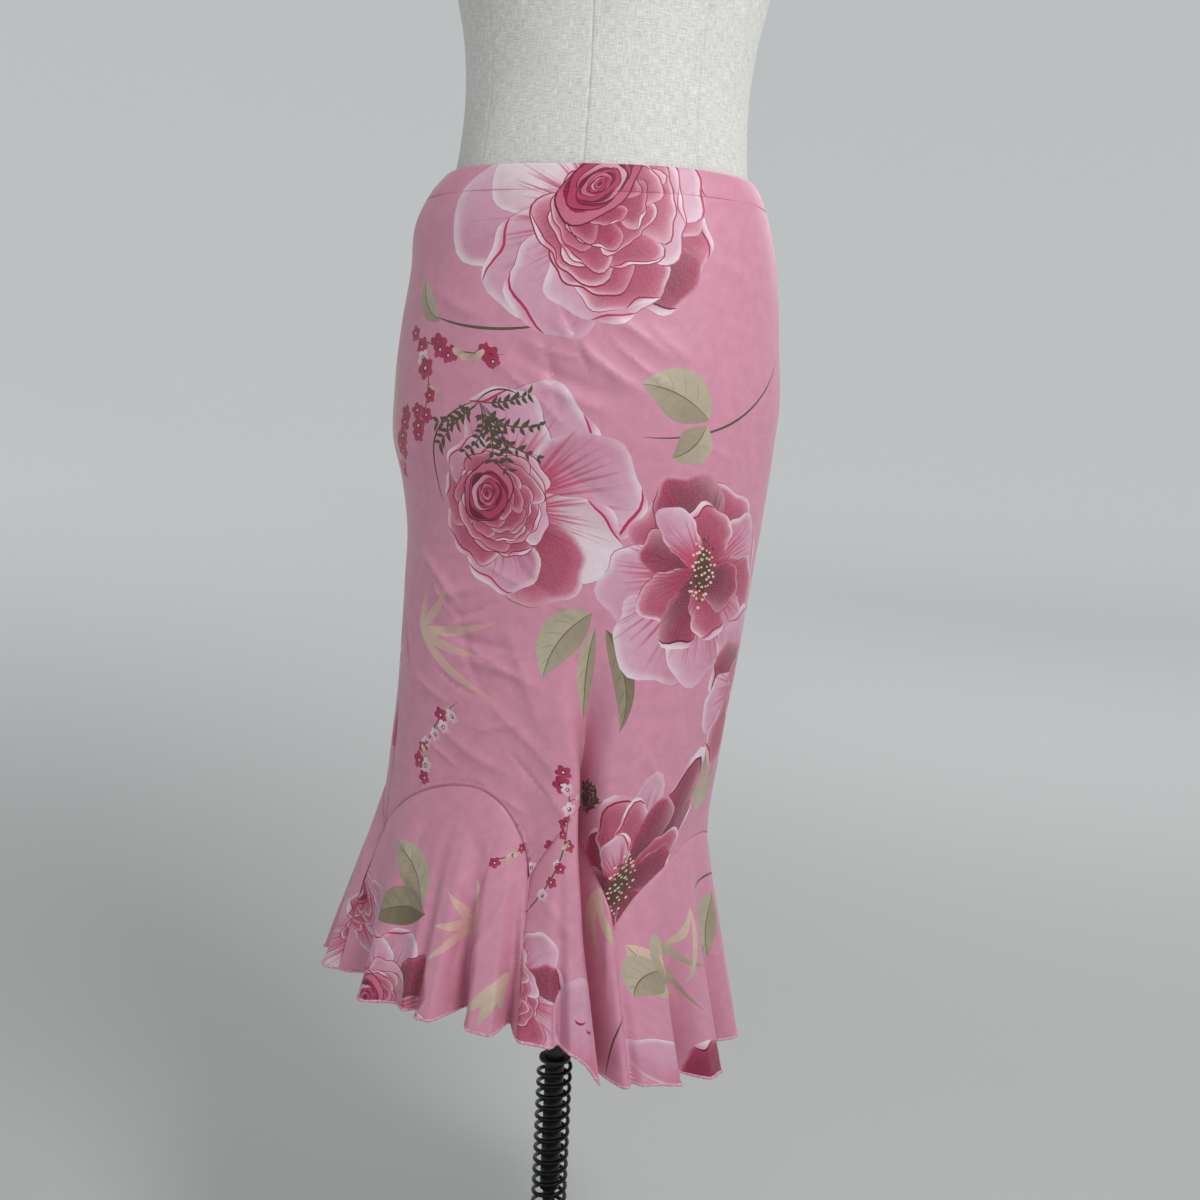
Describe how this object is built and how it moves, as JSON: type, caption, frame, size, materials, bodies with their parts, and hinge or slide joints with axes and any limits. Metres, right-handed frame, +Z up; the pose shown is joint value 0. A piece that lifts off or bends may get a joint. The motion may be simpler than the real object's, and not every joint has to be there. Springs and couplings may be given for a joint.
{
  "type": "mermaid midi skirt on a limbless dress form with a sprung pole stand",
  "caption": "Flared mermaid midi skirt with a scalloped flounce seam, worn on a plain limbless dress form on a pole with a return spring and a round base.",
  "frame": {"origin": "centre of the round base's underside, where it rests on the floor", "axes": "+Z up along the pole; the form's front faces -Y; +X is to the right of someone who looks at its front"},
  "size_m": [0.42, 0.42, 1.55],
  "materials": {
    "printed_satin": "satin",
    "linen": "matte",
    "black_enamel": "satin",
    "spring_steel": "satin"
  },
  "bodies": {
    "stand": {"base_plate": "black_enamel", "base_hub": "black_enamel", "guide_rod": "black_enamel", "coil_spring": "spring_steel"},
    "riser": {"pole_tube": "black_enamel", "spring_collar": "black_enamel"},
    "form": {"dress_form": "linen", "pole_socket": "black_enamel", "body_front": "printed_satin", "body_back": "printed_satin", "flounce_front_left": "printed_satin", "flounce_front_middle": "printed_satin", "flounce_front_right": "printed_satin", "flounce_back_right": "printed_satin", "flounce_back_middle": "printed_satin", "flounce_back_left": "printed_satin"}
  },
  "joints": [
    {"name": "height_slide", "type": "slide", "parent": "stand", "child": "riser", "axis": [0, 0, 1], "range_m": [-0.1, 0], "deforming": ["coil_spring"]},
    {"name": "form_turn", "type": "hinge", "parent": "riser", "child": "form", "pos_m": [0, 0, 0.8], "axis": [0, 0, 1], "continuous": true}
  ]
}
